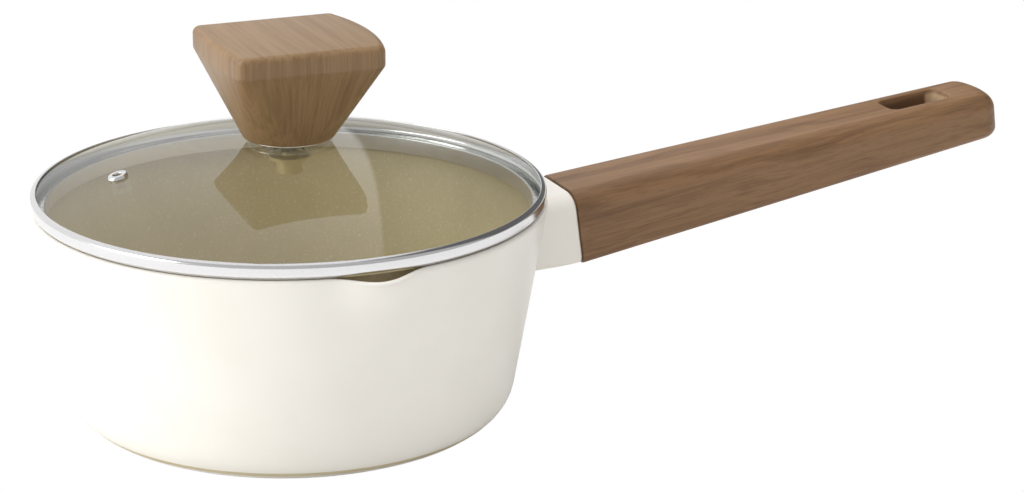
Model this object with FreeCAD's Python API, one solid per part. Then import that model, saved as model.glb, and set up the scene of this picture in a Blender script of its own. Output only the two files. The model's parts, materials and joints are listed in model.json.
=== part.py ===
# Saucepan with a glass lid, 16 cm nominal.
# Origin: centre of the base, on the surface the pan stands on. +Z up, handle towards +X.
# The two pouring lips are at -Y and +Y. All sizes are in millimetres.
import FreeCAD, Part
import math
import os

V = FreeCAD.Vector
Z_AXIS = V(0, 0, 1)

# Pan
rim_radius = 83.6           # outside, at the rim
base_radius = 71.0          # where the wall line would meet the base plane
pan_height = 71.4
wall = 2.6
floor_thickness = 4.0
base_corner = 12.9          # outside radius between wall and base
rim_inner_bevel = 0.3
rim_outer_bevel = 0.9
plate_margin = 0.1          # flat base left round the induction disc
plate_thickness = 1.2

# Pouring lips
lip_reach = 3.4             # how far the lip stands out past the rim circle
lip_radius = 17.0           # radius of the lip at the top
lip_foot_radius = 12.0
lip_depth = 14.0            # how far down the wall the lip fades out
lip_over = 2.0              # spare height of the shapes that form a lip
lip_dip = 2.0               # how far the rim drops at the middle of the lip
lip_dip_width = 26.0

# Lid glass and steel band
band_inset = 0.6            # the band's outside to the rim's outside
band_height = 4.2           # from the rim to the band's shoulder
band_sheet = 0.5
band_lip_width = 1.4        # turned in over the glass
band_tuck = 1.3             # how far the band's foot curves in
band_lip_clearance = 0.02   # between the turned-in lip and the glass
band_shoulder_round = 1.2
band_side_round = 1.6       # where the side turns in to the foot
band_side_inner_round = 0.8
band_foot_round = 0.8
band_foot_inner_round = 0.4
skirt_round = 0.2
skirt_inner_round = 0.7
skirt_depth = 5.0
skirt_clearance = 2.2       # to the inside of the pan wall
glass_rise = 16.0           # crown of the glass above its edge
glass_thickness = 4.0
glass_edge_clearance = 0.15

# Steam vent
vent_from_edge = 26.25      # in from the edge of the glass
vent_angle = 177.0          # degrees from the handle
vent_bore_radius = 1.4
vent_tube_radius = 2.7
vent_flange_radius = 3.7
vent_flange_thickness = 0.7
vent_clearance = 0.1

# Knob
knob_foot_radius = 14.7
knob_taper_height = 26.0
knob_band_height = 6.9
knob_half_width = 24.9      # across the handle
knob_half_length = 24.0     # along the handle, to the corners
knob_front_bulge = 4.1      # the end towards the handle stands out this far past its corners
knob_back_bulge = 1.2       # and the far end this far
knob_corner_radius = 2.6
knob_top_round = 2.2
knob_lift = 1.3             # from the crown of the glass to the wood

# Knob fastening
ring_lip = 0.3              # how far the ring shows past the knob's foot
ring_thickness = 0.8
pad_inset = 0.8             # the upper pad's edge to the ring's edge
pad_sink = 1.0              # spare height of the pad, cut away by the glass
collar_radius = 4.8
collar_clearance = 0.15
collar_gap = 0.1            # from the collar's top to the crown of the glass
lower_pad_radius = 7.5
lower_pad_thickness = 1.2
lower_washer_radius = 6.5
lower_washer_thickness = 1.0
insert_radius = 4.0
insert_length = 12.0
knob_screw_length = 20.0

# M5 fasteners
m5_shank_radius = 2.4
m5_thread_clearance = 0.1
m5_pass_clearance = 0.35
m5_head_radius = 4.2
m5_head_height = 3.4
m5_socket_radius = 2.0
m5_socket_depth = 2.2
washer_radius = 4.5
washer_thickness = 1.0
spring_washer_radius = 4.2
spring_washer_thickness = 1.2
spring_washer_gap = 1.0

# Handle
handle_tilt = 7.86          # degrees above level
handle_drop = 18.1          # from the rim down to the middle of the grip's pan end
guard_length = 16.5         # from the pan wall to the grip, level
grip_length = 166.5
grip_width_pan = 29.7
grip_width_tip = 27.3
grip_height_pan = 25.4
grip_height_tip = 16.0
grip_top_round = 6.2
grip_under_round = 3.2
tip_arc_radius = 35.0
tip_corner_radius = 5.5
slot_from_tip = 17.4        # from the slot's far end to the tip
slot_length = 22.5
slot_width = 12.6
slot_corner = 3.2

# Handle fastening, measured along the grip from its pan end
stud_size = 9.0             # square shank
stud_reach = 10.0           # how far the shank enters the grip
stud_clearance = 0.25
stud_pad_radius = 7.0
stud_pad_thickness = 3.0
shoulder_from_end = 24.0
head_bore_clearance = 0.4
handle_screw_length = 30.0
thread_runout = 2.0         # the threaded hole runs this much past the screw

# Flame guard
guard_inset = 0.5           # the guard is this much smaller than the grip all round
guard_wall = 1.8
guard_web = 2.5
guard_wall_height = 24.0    # height of the guard where it meets the pan
guard_wall_drop = 1.3       # how much lower its middle is there
guard_groove = 0.6          # shadow groove beside the grip
guard_groove_depth = 1.0

spare = 1.0                 # how far a cutting shape runs past what it cuts
least_round = 0.4           # smallest corner of an inset section


# Values that follow from the sizes above
rim_z = pan_height
shoulder_z = rim_z + band_height
crown_z = shoulder_z + glass_rise
knob_z = crown_z + knob_lift
flange_top_z = rim_z + band_sheet
plate_radius = base_radius - base_corner - plate_margin
band_radius = rim_radius - band_inset
glass_edge_radius = band_radius - band_sheet - glass_edge_clearance
vent_radius_from_axis = glass_edge_radius - vent_from_edge
ring_radius = knob_foot_radius + ring_lip
pad_radius = ring_radius - pad_inset
slot_start = grip_length - slot_from_tip - slot_length
thread_bore = m5_shank_radius + m5_thread_clearance
pass_bore = m5_shank_radius + m5_pass_clearance
wall_slope = math.atan2(rim_radius - base_radius, pan_height)
wall_across = wall / math.cos(wall_slope)


def outer_radius(z):
    return base_radius + (rim_radius - base_radius) * z / pan_height


def inner_radius(z):
    return outer_radius(z) - wall_across


skirt_radius = inner_radius(rim_z) - skirt_clearance
handle_start_z = pan_height - handle_drop
handle_start_x = outer_radius(handle_start_z) + guard_length


def rounded(points, radii, to_space):
    # Closed wire through the points, each corner rounded by its own radius.
    edges = []
    starts = []
    ends = []
    count = len(points)
    for i, (x, y) in enumerate(points):
        px, py = points[i - 1]
        nx, ny = points[(i + 1) % count]
        before = math.hypot(px - x, py - y)
        after = math.hypot(nx - x, ny - y)
        ax, ay = (px - x) / before, (py - y) / before
        bx, by = (nx - x) / after, (ny - y) / after
        half = math.acos(max(-1.0, min(1.0, ax * bx + ay * by))) / 2
        radius = radii[i]
        cut = radius / math.tan(half) if radius else 0.0
        start = (x + ax * cut, y + ay * cut)
        end = (x + bx * cut, y + by * cut)
        starts.append(start)
        ends.append(end)
        if radius:
            reach = radius / math.sin(half)
            mx, my = ax + bx, ay + by
            size = math.hypot(mx, my)
            middle = (x + mx / size * (reach - radius), y + my / size * (reach - radius))
            edges.append(Part.Arc(to_space(*start), to_space(*middle), to_space(*end)).toShape())
        else:
            edges.append(None)
    chain = []
    for i in range(count):
        if edges[i] is not None:
            chain.append(edges[i])
        line_start = to_space(*ends[i])
        line_end = to_space(*starts[(i + 1) % count])
        if line_start.distanceToPoint(line_end) > 1e-6:
            chain.append(Part.LineSegment(line_start, line_end).toShape())
    return Part.Wire(chain)


def profile_plane(r, z):
    return V(r, 0, z)


def turned(points, radii):
    # Solid of revolution about the pan's axis.
    face = Part.Face(rounded(points, radii, profile_plane))
    return face.revolve(V(0, 0, 0), Z_AXIS, 360)


def disc(radius, thickness, z, bore=0.0):
    solid = Part.makeCylinder(radius, thickness, V(0, 0, z))
    if bore:
        solid = solid.cut(Part.makeCylinder(bore, thickness + 2 * spare, V(0, 0, z - spare)))
    return solid


def dome_edges(radius, edge_z, apex_z):
    # Arc from the edge of a dome to its apex, its centre on the axis.
    rise = apex_z - edge_z
    sphere = (radius ** 2 + rise ** 2) / (2 * rise)
    half = math.asin(radius / sphere) / 2
    middle = V(sphere * math.sin(half), 0, apex_z - sphere * (1 - math.cos(half)))
    return Part.Arc(V(radius, 0, edge_z), middle, V(0, 0, apex_z)).toShape()


def lip_cone(shrink, side):
    # Tapering bulge that pushes the wall outwards at a pouring lip.
    foot_z = rim_z - lip_depth
    over = lip_over
    grow = (lip_radius - lip_foot_radius) / lip_depth
    foot_y = outer_radius(foot_z) - lip_foot_radius - shrink
    top_y = rim_radius + lip_reach - lip_radius
    top_y += (top_y - foot_y) * over / lip_depth - shrink
    foot = Part.makeCircle(lip_foot_radius, V(0, side * foot_y, foot_z))
    top = Part.makeCircle(lip_radius + grow * over, V(0, side * top_y, rim_z + over))
    return Part.makeLoft([Part.Wire(foot), Part.Wire(top)], True, True)


def lip_trough(side):
    # Shallow cylindrical cut that lowers the rim at a pouring lip.
    radius = ((lip_dip_width / 2) ** 2 + lip_dip ** 2) / (2 * lip_dip)
    length = 4 * lip_radius
    start = V(0, side * (rim_radius - lip_radius), rim_z + radius - lip_dip)
    return Part.makeCylinder(radius, length, start, V(0, side, 0))


def pan_outside():
    bevel = rim_outer_bevel
    points = [(0, 0), (base_radius, 0), (outer_radius(rim_z - bevel), rim_z - bevel),
              (rim_radius - bevel, rim_z), (0, rim_z)]
    return turned(points, [0, base_corner, 0, 0, 0])


def pan_inside():
    over = 2 * lip_over
    bevel = rim_inner_bevel
    corner = base_corner - wall
    points = [(0, floor_thickness), (inner_radius(floor_thickness), floor_thickness),
              (inner_radius(rim_z - bevel), rim_z - bevel), (inner_radius(rim_z) + bevel, rim_z),
              (inner_radius(rim_z) + bevel + over, rim_z + over), (0, rim_z + over)]
    return turned(points, [0, corner, 0, 0, 0, 0])


def pan_body():
    outside = pan_outside()
    inside = pan_inside()
    for side in (-1, 1):
        outside = outside.fuse(lip_cone(0, side))
        inside = inside.fuse(lip_cone(wall_across, side))
    body = outside.cut(inside)
    block = 4 * rim_radius
    body = body.cut(Part.makeBox(block, block, lip_depth, V(-block / 2, -block / 2, rim_z)))
    for side in (-1, 1):
        body = body.cut(lip_trough(side))
    return body.cut(disc(plate_radius, plate_thickness, 0))


def induction_base_plate():
    return disc(plate_radius, plate_thickness, 0)


def handle_placement():
    turn = FreeCAD.Rotation(V(0, 1, 0), -handle_tilt)
    return FreeCAD.Placement(V(handle_start_x, 0, handle_start_z), turn)


def on_handle(shape):
    shape.Placement = handle_placement().multiply(shape.Placement)
    return shape


def along(radius, start, end):
    # Cylinder on the handle's middle line.
    return Part.makeCylinder(radius, end - start, V(start, 0, 0), V(1, 0, 0))


def grip_width(x):
    return grip_width_pan + (grip_width_tip - grip_width_pan) * x / grip_length


def grip_height(x):
    return grip_height_pan + (grip_height_tip - grip_height_pan) * x / grip_length


def section(x, width, height, top_round, under_round, middle=0.0):
    w, h = width / 2, height / 2
    points = [(-w, -h), (w, -h), (w, h), (-w, h)]
    radii = [under_round, under_round, top_round, top_round]
    return rounded(points, radii, lambda y, z: V(x, y, z + middle))


def inset_round(radius, inset):
    return max(radius - inset, least_round)


def grip_section(x):
    return section(x, grip_width(x), grip_height(x), grip_top_round, grip_under_round)


def tip_prism():
    # Solid on the plan outline of the rounded tip, wider than the grip everywhere else.
    corner = tip_corner_radius
    flare = tip_corner_radius
    across = grip_width_tip / 2 - corner
    span = across ** 2 - corner ** 2 + 2 * tip_arc_radius * corner
    side_x = grip_length - tip_arc_radius + math.sqrt(tip_arc_radius ** 2 - span)
    half = grip_width(side_x) / 2
    across = half - corner
    back = grip_length - side_x
    arc = (back ** 2 + across ** 2 - corner ** 2) / (2 * (back - corner))
    lean = math.atan2(across, side_x - (grip_length - arc))
    touch = V(grip_length - arc + arc * math.cos(lean), arc * math.sin(lean), 0)
    swing = (lean + math.pi / 2) / 2
    bend = V(side_x + corner * math.cos(swing), across + corner * math.sin(swing), 0)
    side = V(side_x, half, 0)
    out = V(side_x - flare, half + flare, 0)
    back_out = V(-flare, half + flare, 0)

    def mirrored(p):
        return V(p.x, -p.y, p.z)

    edges = [
        Part.LineSegment(mirrored(back_out), mirrored(out)).toShape(),
        Part.LineSegment(mirrored(out), mirrored(side)).toShape(),
        Part.Arc(mirrored(side), mirrored(bend), mirrored(touch)).toShape(),
        Part.Arc(mirrored(touch), V(grip_length, 0, 0), touch).toShape(),
        Part.Arc(touch, bend, side).toShape(),
        Part.LineSegment(side, out).toShape(),
        Part.LineSegment(out, back_out).toShape(),
        Part.LineSegment(back_out, mirrored(back_out)).toShape(),
    ]
    face = Part.Face(Part.Wire(edges))
    face.translate(V(0, 0, -grip_height_pan))
    return face.extrude(V(0, 0, 2 * grip_height_pan))


def hanging_slot():
    w = slot_width / 2
    end = slot_start + slot_length
    points = [(slot_start, -w), (end, -w), (end, w), (slot_start, w)]
    wire = rounded(points, [slot_corner] * 4, lambda x, y: V(x, y, -grip_height_pan))
    return Part.Face(wire).extrude(V(0, 0, 2 * grip_height_pan))


def handle_grip():
    grip = Part.makeLoft([grip_section(0), grip_section(grip_length + spare)], True, True)
    grip = grip.common(tip_prism())
    grip = grip.cut(hanging_slot())
    socket = stud_size + 2 * stud_clearance
    depth = stud_reach + stud_clearance
    grip = grip.cut(Part.makeBox(depth + spare, socket, socket, V(-spare, -socket / 2, -socket / 2)))
    grip = grip.cut(along(pass_bore, depth - spare, shoulder_from_end + spare))
    head_bore = washer_radius + head_bore_clearance
    grip = grip.cut(along(head_bore, shoulder_from_end, slot_start + slot_length / 2))
    return on_handle(grip)


def guard_loft(inset, overlap):
    # Solid between the pan and the grip, in the handle's own frame.
    width = grip_width_pan - 2 * inset
    reach = guard_length + stud_pad_thickness + base_corner
    scale = reach / guard_length
    turn = math.radians(handle_tilt)
    drop = guard_wall_drop * scale - reach * math.sin(turn)
    top_round = inset_round(grip_top_round, inset)
    under_round = inset_round(grip_under_round, inset)
    near_height = guard_wall_height - 2 * (inset - guard_inset)
    near = section(-reach, width, near_height, top_round, under_round, -drop)
    far = section(overlap, width, grip_height_pan - 2 * inset, top_round, under_round)
    return Part.makeLoft([near, far], True, True)


def flame_guard():
    shell = guard_loft(guard_inset, -guard_groove)
    neck = guard_loft(guard_inset + guard_groove_depth, 0.0)
    guard = shell.fuse(neck)
    guard = guard.cut(guard_loft(guard_inset + guard_groove_depth + guard_wall, -guard_web))
    hole = stud_size + 2 * stud_clearance
    opening = Part.makeBox(guard_web + 2 * spare, hole, hole)
    opening.translate(V(-guard_web - spare, -hole / 2, -hole / 2))
    guard = guard.cut(opening)
    guard = on_handle(guard)
    return guard.cut(pan_outside())


def handle_weld_stud():
    back = guard_length + stud_pad_thickness
    shank = Part.makeBox(back + stud_reach, stud_size, stud_size, V(-back, -stud_size / 2, -stud_size / 2))
    pad = along(stud_pad_radius, -back - stud_pad_thickness, -back + 2 * stud_pad_thickness)
    stud = shank.fuse(pad)
    thread_depth = handle_screw_length - (shoulder_from_end - stud_reach) + thread_runout
    stud = stud.cut(along(thread_bore, stud_reach - thread_depth, stud_reach + spare))
    return on_handle(stud).cut(pan_outside())


def ring_along(outer, bore, start, thickness):
    bored = along(bore, start - spare, start + thickness + spare)
    return along(outer, start, start + thickness).cut(bored)


def handle_flat_washer():
    return on_handle(ring_along(washer_radius, pass_bore, shoulder_from_end, washer_thickness))


def handle_spring_washer():
    # A ring opened by a narrow cut across its upper side.
    start = shoulder_from_end + washer_thickness
    ring = ring_along(spring_washer_radius, thread_bore, start, spring_washer_thickness)
    gap = Part.makeBox(spring_washer_thickness + 2 * spare, spring_washer_gap, spring_washer_radius + spare)
    gap.translate(V(start - spare, -spring_washer_gap / 2, 0))
    return on_handle(ring.cut(gap))


def handle_screw():
    head = shoulder_from_end + washer_thickness + spring_washer_thickness
    screw = along(m5_shank_radius, head - handle_screw_length, head + m5_head_height - m5_socket_depth)
    screw = screw.fuse(along(m5_head_radius, head, head + m5_head_height))
    top = head + m5_head_height
    screw = screw.cut(along(m5_socket_radius, top - m5_socket_depth, top + spare))
    return on_handle(screw)


def lid_vent(radius, start, end):
    turn = math.radians(vent_angle)
    centre = V(vent_radius_from_axis * math.cos(turn), vent_radius_from_axis * math.sin(turn), start)
    return Part.makeCylinder(radius, end - start, centre)


def glass_blank():
    top = dome_edges(glass_edge_radius, shoulder_z, crown_z)
    under = dome_edges(skirt_radius, flange_top_z, crown_z - glass_thickness)
    bevel_foot = V(glass_edge_radius - band_tuck, 0, flange_top_z)
    bevel_top = V(glass_edge_radius, 0, flange_top_z + band_tuck)
    edges = [
        top,
        Part.LineSegment(V(0, 0, crown_z), V(0, 0, crown_z - glass_thickness)).toShape(),
        under,
        Part.LineSegment(V(skirt_radius, 0, flange_top_z), bevel_foot).toShape(),
        Part.LineSegment(bevel_foot, bevel_top).toShape(),
        Part.LineSegment(bevel_top, V(glass_edge_radius, 0, shoulder_z)).toShape(),
    ]
    return Part.Face(Part.Wire(edges)).revolve(V(0, 0, 0), Z_AXIS, 360)


def glass_top(radius):
    # Height of the glass's upper face at a distance from the axis.
    sphere = (glass_edge_radius ** 2 + glass_rise ** 2) / (2 * glass_rise)
    return crown_z - sphere + math.sqrt(sphere ** 2 - radius ** 2)


def glass_under(radius):
    rise = crown_z - glass_thickness - flange_top_z
    sphere = (skirt_radius ** 2 + rise ** 2) / (2 * rise)
    return crown_z - glass_thickness - sphere + math.sqrt(sphere ** 2 - radius ** 2)


def lid_glass():
    glass = glass_blank()
    glass = glass.cut(lid_vent(vent_tube_radius + vent_clearance, rim_z, crown_z + spare))
    hole = collar_radius + collar_clearance
    return glass.cut(disc(hole, glass_thickness + 2 * spare, glass_under(0) - spare))


def lid_rim_band():
    # One rolled sheet: over the glass edge, down the outside, in under it, and down as a skirt.
    out = band_radius
    sheet = band_sheet
    lip_in = out - sheet - band_lip_width
    lip_z = glass_top(lip_in) + band_lip_clearance
    edge_z = glass_top(glass_edge_radius) + band_lip_clearance
    foot_out = out - band_tuck
    skirt_in = skirt_radius - sheet
    skirt_z = rim_z - skirt_depth
    points = [
        (lip_in, lip_z), (lip_in, lip_z + sheet), (out, edge_z + sheet), (out, rim_z + band_tuck),
        (foot_out, rim_z), (skirt_radius, rim_z), (skirt_radius, skirt_z), (skirt_in, skirt_z),
        (skirt_in, flange_top_z), (foot_out + sheet / 4, flange_top_z),
        (out - sheet, rim_z + band_tuck), (out - sheet, edge_z),
    ]
    radii = [0, 0, band_shoulder_round, band_side_round, band_foot_round, skirt_round, 0, 0,
             skirt_inner_round, band_foot_inner_round, band_side_inner_round, 0]
    return turned(points, radii)


def steam_vent_grommet():
    top = glass_top(vent_radius_from_axis)
    under = glass_under(vent_radius_from_axis)
    fall = glass_top(vent_radius_from_axis) - glass_top(vent_radius_from_axis + vent_flange_radius)
    head = lid_vent(vent_flange_radius, top - fall, top + fall / 2 + vent_flange_thickness)
    tail = lid_vent(vent_flange_radius, under - fall / 2 - vent_flange_thickness, under + fall)
    flanges = head.fuse(tail).cut(glass_blank())
    tube = lid_vent(vent_tube_radius, under - fall / 2, top + fall / 2)
    return flanges.fuse(tube).cut(lid_vent(vent_bore_radius, rim_z, crown_z + spare))


def knob_end(z, bulge):
    # Half of one bowed end: side end, corner middle, bow end, bow middle, and where the bow faces.
    bow = (knob_half_width ** 2 + bulge ** 2) / (2 * bulge)
    corner = knob_corner_radius
    middle_x = knob_half_length + bulge - bow
    centre_y = knob_half_width - corner
    centre_x = middle_x + math.sqrt((bow - corner) ** 2 - centre_y ** 2)
    lean = math.atan2(centre_y, centre_x - middle_x)
    touch = V(middle_x + bow * math.cos(lean), bow * math.sin(lean), z)
    swing = (lean + math.pi / 2) / 2
    bend = V(centre_x + corner * math.cos(swing), centre_y + corner * math.sin(swing), z)
    side = V(centre_x, knob_half_width, z)
    end = V(knob_half_length + bulge, 0, z)
    return side, bend, touch, end, lean


def knob_outline(z):
    # The knob's outline as arcs and two straight sides, each with the directions it faces.
    side, bend, touch, end, lean = knob_end(z, knob_front_bulge)
    back_side, back_bend, back_touch, back_end, back_lean = knob_end(z, knob_back_bulge)
    quarter = math.pi / 2

    def flip(p, sx, sy):
        return V(p.x * sx, p.y * sy, p.z)

    return [
        ([flip(touch, 1, -1), end, touch], -lean, lean),
        ([touch, bend, side], lean, quarter),
        ([side, flip(back_side, -1, 1)], quarter, quarter),
        ([flip(back_side, -1, 1), flip(back_bend, -1, 1), flip(back_touch, -1, 1)],
         quarter, 2 * quarter - back_lean),
        ([flip(back_touch, -1, 1), flip(back_end, -1, 1), flip(back_touch, -1, -1)],
         2 * quarter - back_lean, 2 * quarter + back_lean),
        ([flip(back_touch, -1, -1), flip(back_bend, -1, -1), flip(back_side, -1, -1)],
         2 * quarter + back_lean, 3 * quarter),
        ([flip(back_side, -1, -1), flip(side, 1, -1)], 3 * quarter, 3 * quarter),
        ([flip(side, 1, -1), flip(bend, 1, -1), flip(touch, 1, -1)], 3 * quarter, 4 * quarter - lean),
    ]


def outline_edge(points):
    if len(points) == 2:
        return Part.LineSegment(*points).toShape()
    return Part.Arc(*points).toShape()


def foot_point(angle):
    return V(knob_foot_radius * math.cos(angle), knob_foot_radius * math.sin(angle), knob_z)


def knob_taper():
    # Straight-sided transition from the round foot to the outline: cones at the ends, flat sides.
    waist_z = knob_z + knob_taper_height
    faces = []
    foot_edges = []
    waist_edges = []
    for points, first, last in knob_outline(waist_z):
        upper = outline_edge(points)
        waist_edges.append(upper)
        if first == last:
            corners = [points[0], points[1], foot_point(first), points[0]]
            faces.append(Part.Face(Part.makePolygon(corners)))
            continue
        lower = Part.Arc(foot_point(first), foot_point((first + last) / 2), foot_point(last)).toShape()
        foot_edges.append(lower)
        faces.append(Part.makeRuledSurface(upper, lower))
    faces.append(Part.Face(Part.Wire(waist_edges)))
    faces.append(Part.Face(Part.Wire(foot_edges)))
    shell = Part.makeShell(faces)
    shell.sewShape()
    return Part.makeSolid(shell)


def lid_knob():
    waist_z = knob_z + knob_taper_height
    outline = Part.Wire([outline_edge(points) for points, first, last in knob_outline(waist_z)])
    slab = Part.Face(outline).extrude(V(0, 0, knob_band_height))
    top_z = waist_z + knob_band_height
    top_edges = [e for e in slab.Edges if e.BoundBox.ZMin > top_z - knob_top_round / 2]
    slab = slab.makeFillet(knob_top_round, top_edges)
    knob = knob_taper().fuse(slab).removeSplitter()
    return knob.cut(Part.makeCylinder(insert_radius, insert_length, V(0, 0, knob_z)))


def knob_insert():
    return disc(insert_radius, insert_length, knob_z, thread_bore)


def knob_base_ring():
    return disc(ring_radius, ring_thickness, knob_z - ring_thickness, pass_bore)


def knob_upper_gasket():
    under = glass_top(pad_radius) - pad_sink
    top = knob_z - ring_thickness
    pad = disc(pad_radius, top - under, under, pass_bore)
    return pad.cut(glass_blank())


def knob_lower_gasket():
    bottom = glass_under(0) - lower_pad_thickness
    pad = disc(lower_pad_radius, lower_pad_thickness, bottom, pass_bore).cut(glass_blank())
    collar_height = glass_thickness + lower_pad_thickness - collar_gap
    return pad.fuse(disc(collar_radius, collar_height, bottom, pass_bore)).removeSplitter()


def lower_washer_z():
    return glass_under(0) - lower_pad_thickness - lower_washer_thickness


def knob_lower_washer():
    return disc(lower_washer_radius, lower_washer_thickness, lower_washer_z(), pass_bore)


def knob_spring_washer():
    z = lower_washer_z() - spring_washer_thickness
    ring = disc(spring_washer_radius, spring_washer_thickness, z, thread_bore)
    gap = Part.makeBox(spring_washer_radius + spare, spring_washer_gap, spring_washer_thickness + 2 * spare)
    gap.translate(V(0, -spring_washer_gap / 2, z - spare))
    return ring.cut(gap)


def knob_screw():
    z = lower_washer_z() - spring_washer_thickness
    web = m5_head_height - m5_socket_depth
    shank = Part.makeCylinder(m5_shank_radius, knob_screw_length + web, V(0, 0, z - web))
    head = Part.makeCylinder(m5_head_radius, m5_head_height, V(0, 0, z - m5_head_height))
    depth = m5_socket_depth + spare
    socket = Part.makeCylinder(m5_socket_radius, depth, V(0, 0, z - m5_head_height - spare))
    return shank.fuse(head).cut(socket)


NODES = [
    pan_body, induction_base_plate, handle_weld_stud, flame_guard, handle_grip, handle_screw,
    handle_flat_washer, handle_spring_washer, lid_glass, lid_rim_band, steam_vent_grommet, lid_knob,
    knob_insert, knob_base_ring, knob_upper_gasket, knob_lower_gasket, knob_lower_washer,
    knob_spring_washer, knob_screw,
]

os.makedirs("parts", exist_ok=True)
for build in NODES:
    shape = build()
    shape.exportStep("parts/" + build.__name__ + ".step")
    print(build.__name__, len(shape.Solids), shape.isValid())
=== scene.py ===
import json
import math

import bpy
from mathutils import Matrix, Vector

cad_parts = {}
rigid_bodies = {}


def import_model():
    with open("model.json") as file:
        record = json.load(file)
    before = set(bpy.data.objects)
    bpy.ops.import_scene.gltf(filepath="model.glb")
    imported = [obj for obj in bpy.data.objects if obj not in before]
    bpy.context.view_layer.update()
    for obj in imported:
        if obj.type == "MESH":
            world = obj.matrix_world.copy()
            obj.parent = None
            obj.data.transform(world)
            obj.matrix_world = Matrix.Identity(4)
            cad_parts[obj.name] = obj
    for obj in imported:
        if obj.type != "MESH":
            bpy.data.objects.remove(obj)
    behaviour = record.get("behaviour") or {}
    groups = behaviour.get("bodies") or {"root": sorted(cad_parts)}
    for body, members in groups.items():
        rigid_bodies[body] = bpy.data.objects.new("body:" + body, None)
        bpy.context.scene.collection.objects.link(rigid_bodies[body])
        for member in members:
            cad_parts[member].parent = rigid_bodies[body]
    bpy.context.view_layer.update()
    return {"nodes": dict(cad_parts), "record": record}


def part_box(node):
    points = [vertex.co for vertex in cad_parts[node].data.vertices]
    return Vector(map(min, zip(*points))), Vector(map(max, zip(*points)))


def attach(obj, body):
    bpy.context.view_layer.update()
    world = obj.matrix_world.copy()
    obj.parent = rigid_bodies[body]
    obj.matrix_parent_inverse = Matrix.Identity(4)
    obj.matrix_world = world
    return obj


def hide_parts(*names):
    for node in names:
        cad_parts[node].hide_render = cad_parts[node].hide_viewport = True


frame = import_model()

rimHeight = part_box("pan_body")[1].z
mounts = {mount["name"]: mount for mount in frame["record"]["mounts"]}
slotMount = mounts["hang_slot"]
# the grip rises away from the pan
handleTilt = math.atan2(-slotMount["axis"][0], slotMount["axis"][2])
alongHandle = Vector((math.cos(handleTilt), 0, math.sin(handleTilt)))
handleTurn = Matrix.Rotation(-handleTilt, 3, "Y")
seedSize = 0.001                 # the plane that a path's first point comes from
weldGap = 0.000005               # points nearer than this become one
hair = 0.00001                   # slack when edges are picked by their place


def deselectAll():
    if bpy.context.object and bpy.context.object.mode != "OBJECT":
        bpy.ops.object.mode_set(mode="OBJECT")
    bpy.ops.object.select_all(action="DESELECT")


def shrinkTo(place):
    # the selected plane becomes one vertex at a place
    bpy.ops.mesh.merge(type="CENTER")
    bpy.ops.transform.translate(value=place)


def startPoint(name, place):
    # a new object holding one vertex, left in edit mode
    deselectAll()
    bpy.ops.mesh.primitive_plane_add(size=seedSize)
    piece = bpy.context.object
    piece.name = name
    piece.data.name = name
    bpy.ops.object.mode_set(mode="EDIT")
    bpy.ops.mesh.select_all(action="SELECT")
    shrinkTo(place)
    return piece


def addPoint(place):
    # a second path in the object being edited
    bpy.ops.mesh.select_all(action="DESELECT")
    bpy.ops.mesh.primitive_plane_add(size=seedSize)
    shrinkTo(place)


def drawOn(points):
    # extrudes the selected vertex from point to point
    here = Vector(points[0])
    for point in points[1:]:
        step = Vector(point) - here
        bpy.ops.mesh.extrude_vertices_move(TRANSFORM_OT_translate={"value": step})
        here = Vector(point)


def closeLoop():
    # joins the ends of the path just drawn
    bpy.ops.mesh.select_linked()
    bpy.ops.mesh.edge_face_add()


def selectWhere(piece, kind, test):
    # selects the vertices, edges or faces whose middle passes the test
    modes = {"VERT": (True, False, False), "EDGE": (False, True, False),
             "FACE": (False, False, True)}
    bpy.ops.mesh.select_mode(type=kind)
    bpy.ops.mesh.select_all(action="DESELECT")
    bpy.ops.object.mode_set(mode="OBJECT")
    mesh = piece.data
    bpy.context.tool_settings.mesh_select_mode = modes[kind]
    if kind == "VERT":
        for vertex in mesh.vertices:
            vertex.select = test(vertex.co)
    elif kind == "EDGE":
        for edge in mesh.edges:
            edge.select = test(*[mesh.vertices[i].co for i in edge.vertices])
    else:
        for face in mesh.polygons:
            face.select = test(face.center, face.normal)
    bpy.ops.object.mode_set(mode="EDIT")


def finishPiece(piece, angle=35, outward=True):
    # welds, turns the faces outwards, shades and leaves edit mode
    if piece.mode != "EDIT":
        bpy.ops.object.mode_set(mode="EDIT")
    bpy.ops.mesh.select_mode(type="VERT")
    bpy.ops.mesh.select_all(action="SELECT")
    bpy.ops.mesh.remove_doubles(threshold=weldGap)
    if outward:
        bpy.ops.mesh.normals_make_consistent(inside=False)
    bpy.ops.object.mode_set(mode="OBJECT")
    bpy.ops.object.shade_smooth_by_angle(angle=math.radians(angle))
    return piece


def roundPath(points, radii, steps=6):
    # points of a path whose corners are rounded, each by its own radius
    path = []
    for i, (point, radius) in enumerate(zip(points, radii)):
        here = Vector(point)
        if not radius:
            path.append(here)
            continue
        before = (Vector(points[i - 1]) - here).normalized()
        after = (Vector(points[(i + 1) % len(points)]) - here).normalized()
        half = before.angle(after) / 2
        centre = here + (before + after).normalized() * radius / math.sin(half)
        first = here + before * radius / math.tan(half) - centre
        last = here + after * radius / math.tan(half) - centre
        for step in range(steps + 1):
            share = step / steps
            path.append(centre + first.slerp(last, share, first).normalized() * radius)
    return path


def splitLong(points, longest):
    # adds points so that no step of the path is longer than the given length
    path = [points[0]]
    for point in points[1:]:
        count = max(1, math.ceil((point - path[-1]).length / longest))
        start = path[-1]
        path += [start.lerp(point, (i + 1) / count) for i in range(count)]
    return path


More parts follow.
